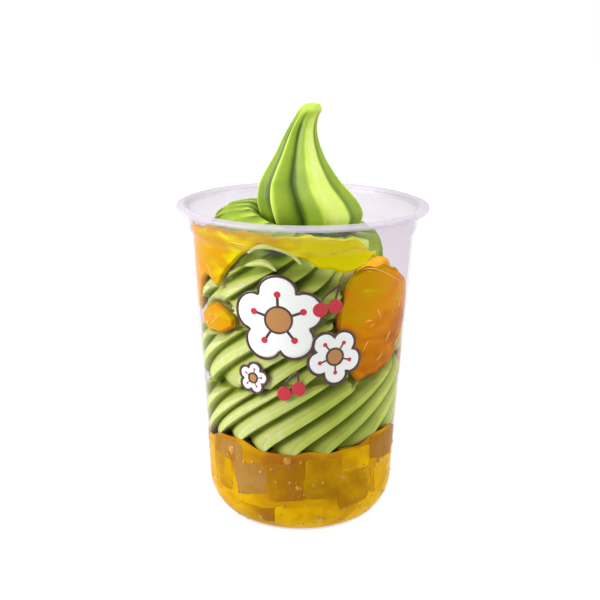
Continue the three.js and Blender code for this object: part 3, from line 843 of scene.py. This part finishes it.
def coil_points(coil, bearing, share, ridge):
    """A row of points at a share of the way up a coil, and their tones: painted shade and painted highlights.
    """
    low, high = coil_span(coil, bearing)
    z = lerp(low, high, share)
    wall = inner_radius(z) - SWIRL_TO_WALL
    clear = near(bearing, 88, 95, 38)
    top = np.zeros_like(z)
    if coil == len(WAISTS):
        start, end = lerp(0.3, 0.0, clear), lerp(1.0, 0.58, clear)
        part = np.clip((share - start) / (end - start), 0, 1)
        top = part * part * (3 - 2 * part)
    pressed = lerp(1, FRONT_WAIST, near(bearing, 5, 70))
    waist = lerp(wall - WAIST_DEPTH * pressed, SHOULDER_RADIUS, top)
    full = lerp(wall, lerp(wall - 2 * SHOULDER_BULGE, SHOULDER_RADIUS + SHOULDER_BULGE, clear), top)
    bulge = (1 - np.abs(2 * share - 1) ** 2.6) ** (1 / 2.2)
    depth = RIDGE_DEPTH * (1 - ridge) * (0.4 + 0.6 * bulge) * (1 - 0.6 * top)
    tip = TIP_DROP * (1 - ridge) * (1 - share) ** 5
    off = np.hypot(turn(DENT_BEARING, bearing) / DENT_WIDTH, (z - DENT_Z) / DENT_HEIGHT)
    hollow = 1 - smooth(off, 0.35, 1)
    free = lerp(waist, full, bulge) - depth * (1 - 0.9 * hollow) + SWELL
    room = room_at(bearing, z)
    # The crests flatten where they press on the wall, with a short bend at the edge of the contact.
    radius = room - np.logaddexp(0, (room - free) / PRESS_BEND) * PRESS_BEND
    # Painted light and shade: valleys and pressed faces are lighter on the left and a little darker on the
    # right.
    valley = 0.18 + 0.25 * near(bearing, -65, 75, 20)
    pale = 1.0 + 0.35 * near(bearing, -45, 60, 20) - 0.1 * near(bearing, 30, 45)
    # The tone drops to the valleys' painted shade as the surface draws back from the wall, and is pale where
    # pressed.
    tone = lerp(valley + (0.65 - valley) * ridge, pale, smooth(radius - room, -3.2, -0.1))
    # A painted highlight on the top of the shoulder, at the right.
    tone = tone + 0.6 * top * near(bearing, 36, 45, 12)
    # The hollow is darkened with painted shade.
    return at(bearing, radius - DENT_DEPTH * hollow, z + tip), lerp(tone, -0.1, hollow)


def columns_at(even, coil, share):
    """The columns' bearings at a share of the way up a coil. The slant depends on the height, and that on the
    bearing, so it is found in a few passes."""
    stray = UNEVENNESS * (np.sin(rad(3 * even + 40)) + 0.7 * np.sin(rad(5 * even + 200)))
    bearing = even
    for _ in range(8):
        low, high = coil_span(coil, bearing)
        z = lerp(low, high, share)
        bearing = even + stray + lean_at(z, z - low)
    return bearing


def peak_columns(fineness):
    """Each column's bearing on the peak, its radius as a share of the crest's and its tone, which holds
    painted light, lobe by lobe.
    """
    bearings, grooves, tones = [], [], []
    for i, (valley, crest, depth, weight) in enumerate(PEAK_LOBES):
        next_valley, _, next_depth, _ = PEAK_LOBES[(i + 1) % len(PEAK_LOBES)]
        count = weight * fineness
        off = 1 - 2 * np.arange(count) / count
        rising = off > 0
        span = np.where(rising, turn(crest, valley), turn(crest, next_valley))
        bearings.append(crest + span * np.abs(off))
        rounded = np.sqrt(off**2 + 0.0025) - 0.05
        grooves.append(1 - PEAK_GROOVE * np.where(rising, depth, next_depth) * rounded)
        edge = np.exp(-(off / 0.14) ** 2)
        tone, dark, frosted = PEAK_TONES[i]
        dark = np.where(rising, dark, PEAK_TONES[(i + 1) % len(PEAK_LOBES)][1])
        # A painted highlight along the crest, and painted shade towards the valleys.
        tone = tone + (0.95 - tone) * edge - dark * smooth(np.abs(off), 0.55, 1.0)
        tones.append(tone + frosted * smooth(-off, 0.0, 0.25) * (1 - smooth(-off, 0.7, 1.0)))
    return np.concatenate(bearings), np.concatenate(grooves), np.concatenate(tones)


def between(one, other, start, end, place):
    """The blend of two values at a place, where one holds at the start and the other at the end."""
    return (end - place) / (end - start) * one + (place - start) / (end - start) * other


def catmull_rom(points, shares):
    """Points on a centripetal Catmull-Rom curve through given points, at shares of the way along it."""
    ends = np.concatenate([[2 * points[0] - points[1]], points, [2 * points[-1] - points[-2]]])
    places = np.clip(shares, 0, 1 - 1e-9) * (len(points) - 1)
    result = []
    for place in places:
        i = int(place)
        p = ends[i:i + 4]
        t = np.concatenate([[0], np.cumsum(np.sqrt(np.linalg.norm(np.diff(p, axis=0), axis=1)))])
        u = t[1] + (place - i) * (t[2] - t[1])
        a = [between(p[k], p[k + 1], t[k], t[k + 1], u) for k in range(3)]
        b = [between(a[k], a[k + 1], t[k], t[k + 2], u) for k in range(2)]
        result.append(between(b[0], b[1], t[1], t[2], u))
    return np.array(result)


def build_swirl(material):
    """The swirl as one skin of rows, from its underside over the coils and the dip to the peak's tip."""
    # A ridge's columns lie closer together round its crest and drop.
    closer = 0.76
    rise = np.linspace(0, closer, 12, endpoint=False)
    ridge_places = np.concatenate([rise, np.linspace(closer, 1, 8, endpoint=False)])
    place = np.tile(ridge_places, RIDGES)
    even = (np.repeat(np.arange(RIDGES), len(ridge_places)) + place) * 360 / RIDGES
    ridge = ridge_shape(place)
    fineness = len(place) // sum(weight for _, _, _, weight in PEAK_LOBES)
    rows, tones = [], []

    middle_z = JELLY_LEVEL - SUNK
    # The underside takes the darkest tone, painted shade.
    for share in (0.4, 0.8):
        bearing = columns_at(even, 0, 0.0)
        low, _ = coil_span(0, bearing)
        rows.append(at(bearing, JELLY_MIDDLE * share, lerp(middle_z, low, share) + 1 - ridge))
        tones.append(np.zeros_like(ridge))

    coil_rows = 34
    top = len(WAISTS)
    for coil in range(top + 1):
        for row in range(coil_rows):
            share = float(eased((row + 0.4) / (coil_rows - 0.2)))
            bearing = columns_at(even, coil, share)
            ring, tone = coil_points(coil, bearing, share, ridge)
            rows.append(ring)
            tones.append(tone)

    # The dip behind the shoulder, where the columns slide round to the nearest places on the peak.
    peak_bearing, grooved, lobe_tone = peak_columns(fineness)
    start = columns_at(even, top, 1.0)
    offset = int(np.argmin(np.abs(turn(start[0], peak_bearing))))
    peak_bearing, grooved, lobe_tone = np.roll((peak_bearing, grooved, lobe_tone), -offset, axis=1)
    foot_lean, foot_radius, foot_z = PEAK_OUTLINE[0]
    dip_rows = 12
    for row in range(dip_rows):
        share = (row + 0.5) / dip_rows
        bearing = start + turn(start, peak_bearing) * share
        radius = lerp(SHOULDER_RADIUS - 2.5 - 0.6 * (1 - ridge), foot_radius, share)
        shoulder_z = coil_span(top, bearing)[1]
        z = lerp(shoulder_z + 0.6, np.minimum(shoulder_z, foot_z), smooth(share))
        ring = at(bearing, radius * (1 - 0.12 * share), z)
        ring[:, 0] += foot_lean * share
        rows.append(ring)
        tones.append(ridge * (1 - 0.6 * share))

    peak_rows = 70
    shares = (np.arange(peak_rows + 1) / peak_rows) ** 1.15
    for share, (sideways, radius, z) in zip(shares, catmull_rom(PEAK_OUTLINE, shares)):
        fade = float(smooth(share, 0.72, 0.95))
        ring = at(peak_bearing, radius * lerp(grooved, 1, fade), z)
        ring[:, 0] += sideways
        rows.append(ring)
        tones.append(lerp(lobe_tone, 0.8, fade))

    points, faces = capped(np.array(rows))
    points[-1] = PEAK_TIP
    tones = np.concatenate([np.concatenate(tones), [0.0, 1.0]])
    swirl = make_piece("swirl", points, faces, material, ridge=tones)
    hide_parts("soft_serve")


def pressed_strands(strokes, flatness, into_wall, sides, count):
    """Points and faces of tubes that taper to both ends and lie on the inner face of the wall."""
    share = np.arange(count) / (count - 1)
    around = np.arange(sides) * 2 * np.pi / sides
    tubes = []
    for thick, stroke in strokes:
        path = catmull_rom(np.array([(*place, 0.0) for place in stroke]), share)
        bearing, z = path[:, 0], path[:, 1]
        tube = lerp(0.2 * thick, thick, np.sin(np.pi * share) ** 0.8)
        outward = at(bearing, 1.0, 0.0)
        centre = at(bearing, inner_radius(z) - flatness * tube + into_wall, z)
        heading = np.gradient(centre, axis=0)
        heading /= np.linalg.norm(heading, axis=1)[:, None]
        side = np.cross(heading, outward)
        rows = [centre[i] + tube[i] * (flatness * np.cos(around)[:, None] * outward[i]
                                       + np.sin(around)[:, None] * side[i]) for i in range(count)]
        tubes.append(capped(np.array(rows)[::-1]))
    return joined(tubes)


def build_curl(material):
    """The lips of cream that curl over and under the hollow at the top of the swirl, pressed on the wall."""
    points, faces = pressed_strands(CURL_STROKES, 0.8, 0.1, sides=16, count=50)
    # The lips' tone of 1.3 paints them pale, a painted highlight.
    curl = make_piece("swirl_curl", points, faces, material, ridge=np.full(len(points), 1.3))


# ---------------- jam and fruit
def build_jam(name, patch, material):
    """A patch of jam whose outer face wets the wall and curls away from it at its edge."""
    thickness, upper, lower = patch
    start, end = upper[0][0], upper[-1][0]
    columns = round((end - start) * 1.6)
    up = np.arange(25) / 24
    slices = []
    for i in range(1, columns):
        share = i / columns
        bearing = lerp(start, end, float(eased(share)))
        low, high = (float(np.mean([along(edge, bearing + off) for off in (-4, -2, 0, 2, 4)]))
                     for edge in (lower, upper))
        low += 0.5 * math.sin(rad(11 * bearing)) + 0.3 * math.sin(rad(29 * bearing))
        high += 0.4 * math.sin(rad(13 * bearing + 70)) + 0.25 * math.sin(rad(31 * bearing))
        low, high = min(low, high - 1.0), max(low + 1.0, high)
        z = lerp(low, high, up)
        swell = (thickness - 0.7) * math.sin(math.pi * share) ** 0.4
        depth = 0.7 + swell * np.sin(np.pi * up) ** 0.6
        # How far a point is from the patch's edge, in millimetres, upright and sideways.
        upright = np.minimum(z - low, high - z)
        sideways = min(bearing - start, end - bearing) * 0.7
        off = np.minimum(upright, sideways)
        lift = INTO_WALL - 1.1 * (1 - smooth(off, 0, 1.6)) ** 2
        wall_side = at(bearing, inner_radius(z) + lift, z)
        inner_side = at(bearing, inner_radius(z) - 0.35 - depth, z)
        slices.append(np.concatenate([wall_side, inner_side[::-1]]))
    points, faces = capped(np.array(slices))
    jam = make_piece(name + "_gel", points, faces, material, tint=jam_tint(name, points))
    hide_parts(name)


def jam_tint(name, points):
    """Where a patch is lemon yellow (0) and where it is brown orange (1), some of it painted shade."""
    bearing = np.degrees(np.arctan2(points[:, 0], -points[:, 1]))
    z = points[:, 2]
    if name == "jam_right":
        return 0.27 + 0.45 * smooth(102 - z, 0, 38) + 0.22 * smooth(bearing, 40, 78)
    if name == "jam_top":
        # The brown orange towards the left end of the top patch is painted shade.
        return 0.2 - 0.3 * smooth(bearing, -20, 12) + 0.14 * smooth(-bearing, 44, 62)
    return np.full(len(points), 0.3)


def build_pulp_and_glints(material):
    """Short bright strands that show in the jam where it lies on the wall: the listed painted glints, and a
    few more in each patch that are partly pulp and partly painted glints.
    """
    random = np.random.default_rng(21)
    strokes = list(PAINTED_GLINTS)
    for _, upper, lower in JAM.values():
        for _ in range(PULP_AND_GLINTS_PER_PATCH):
            bearing = random.uniform(upper[0][0] + 8, upper[-1][0] - 8)
            low, high = float(along(lower, bearing)) + 2.5, float(along(upper, bearing)) - 2.5
            if high < low + 1:
                continue
            z, slope = random.uniform(low, high), random.uniform(-1.2, 1.2)
            run, bend = random.uniform(1.2, 3.0), random.uniform(-0.4, 0.4)
            strand = [(bearing - run, z - slope), (bearing, z + bend), (bearing + run, z + slope)]
            strokes.append((random.uniform(0.2, 0.4), strand))
    strands = pressed_strands(strokes, 0.6, INTO_WALL + 0.15, sides=8, count=16)
    pulp = make_piece("jam_pulp_and_glints", *strands, material)


def build_mango(material):
    """The lump of fruit behind the top of the large patch of jam."""
    shape, faces = rounded_box(16, MANGO_SQUARENESS)
    turned = Matrix.Rotation(math.radians(MANGO_BEARING), 3, "Z")
    turned = turned @ Matrix.Rotation(-math.radians(MANGO_TILT), 3, "Y")
    points = (shape * np.array(MANGO_SIZE) / 2) @ np.array(turned).T
    points += at(MANGO_BEARING, MANGO_RADIUS, MANGO_Z)
    mango = make_piece("mango_chunk", points, faces, material)
    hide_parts("mango_piece")


# ---------------- stage, light and camera
def area_light(name, place, size, power):
    light = bpy.data.lights.new(name, "AREA")
    light.shape = "RECTANGLE"
    light.size, light.size_y = size
    light.energy = power
    lamp = bpy.data.objects.new(name, light)
    bpy.context.collection.objects.link(lamp)
    lamp.location = place
    lamp.rotation_euler = (Vector(LIT_PLACE) - Vector(place)).to_track_quat("-Z", "Y").to_euler()


def build_stage():
    mesh = bpy.data.meshes.new("floor")
    signs = ((-1, -1), (1, -1), (1, 1), (-1, 1))
    mesh.from_pydata([(x * FLOOR_REACH, y * FLOOR_REACH, 0) for x, y in signs], [], [(0, 1, 2, 3)])
    mesh.materials.append(pale_sweep())
    floor = bpy.data.objects.new("floor", mesh)
    bpy.context.collection.objects.link(floor)

    world = bpy.data.worlds.new("studio")
    world.use_nodes = True
    world.node_tree.nodes["Background"].inputs["Color"].default_value = (1, 1, 1, 1)
    world.node_tree.nodes["Background"].inputs["Strength"].default_value = ROOM_LIGHT
    bpy.context.scene.world = world

    for light in LIGHTS:
        area_light(*light)


def build_camera():
    camera = bpy.data.cameras.new("camera")
    camera.sensor_width = CAMERA_SENSOR
    camera.lens = CAMERA_LENS
    body = bpy.data.objects.new("camera", camera)
    bpy.context.collection.objects.link(body)
    body.location = CAMERA_PLACE
    turned = Euler((math.pi / 2 - math.radians(CAMERA_PITCH), 0, 0)).to_matrix()
    turned = turned @ Matrix.Rotation(math.radians(CAMERA_ROLL), 3, "Z")
    body.rotation_euler = turned.to_euler()
    bpy.context.scene.camera = body


# ---------------- assembly
build_camera()
build_stage()
build_cup(moulded_polypropylene())
build_print()
build_jelly(set_gel())
build_jelly_cubes(cut_jelly())
build_bubbles(trapped_air())
soft_serve_material = frozen_soft_serve()
build_swirl(soft_serve_material)
build_curl(soft_serve_material)
jam_material = mango_jam()
for jam_name, jam_patch in JAM.items():
    build_jam(jam_name, jam_patch, jam_material)
build_pulp_and_glints(pulp_and_glints())
build_mango(ripe_mango())

scene = bpy.context.scene
scene.view_settings.view_transform = "Standard"
scene.cycles.use_denoising = True
